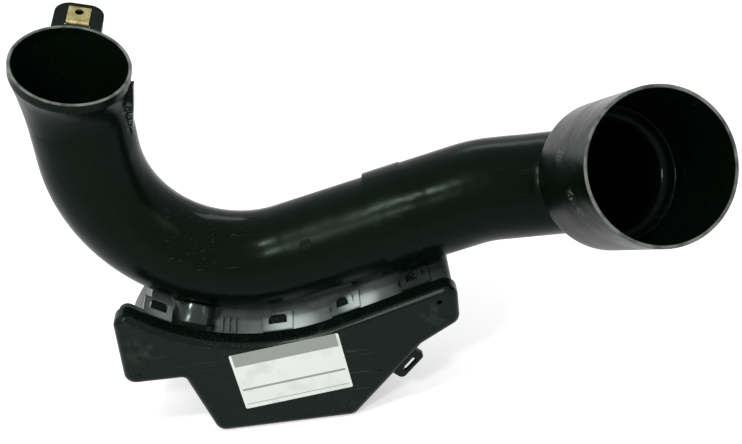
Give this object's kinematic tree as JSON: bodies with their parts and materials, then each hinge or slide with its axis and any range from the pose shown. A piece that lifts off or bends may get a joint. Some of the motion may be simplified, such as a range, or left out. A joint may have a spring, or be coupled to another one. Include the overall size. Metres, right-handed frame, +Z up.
{
  "type": "air intake duct",
  "caption": "Moulded plastic engine air duct: flared inlet, wide bend, sleeve joint, elbow to a stepped outlet cuff, and a latched resonator box under the bend.",
  "frame": {"origin": "centre of the outlet cuff's mouth", "axes": "+X from the inlet side toward the outlet side, +Y away from the viewer of the resonator cover, +Z up along the inlet limb"},
  "size_m": [0.5042, 0.2207, 0.3404],
  "materials": {
    "duct_plastic": "glossy black moulded plastic",
    "box_plastic": "satin black moulded plastic",
    "cover_plastic": "matt black moulded plastic",
    "seal_rubber": "soft black rubber",
    "plated_steel": "yellow zinc plate"
  },
  "bodies": {
    "root": {"inlet_duct": "duct_plastic", "outlet_duct": "duct_plastic", "resonator_body": "box_plastic", "resonator_cover": "cover_plastic", "neck_seal": "seal_rubber", "clip_nut": "plated_steel"}
  },
  "joints": []
}
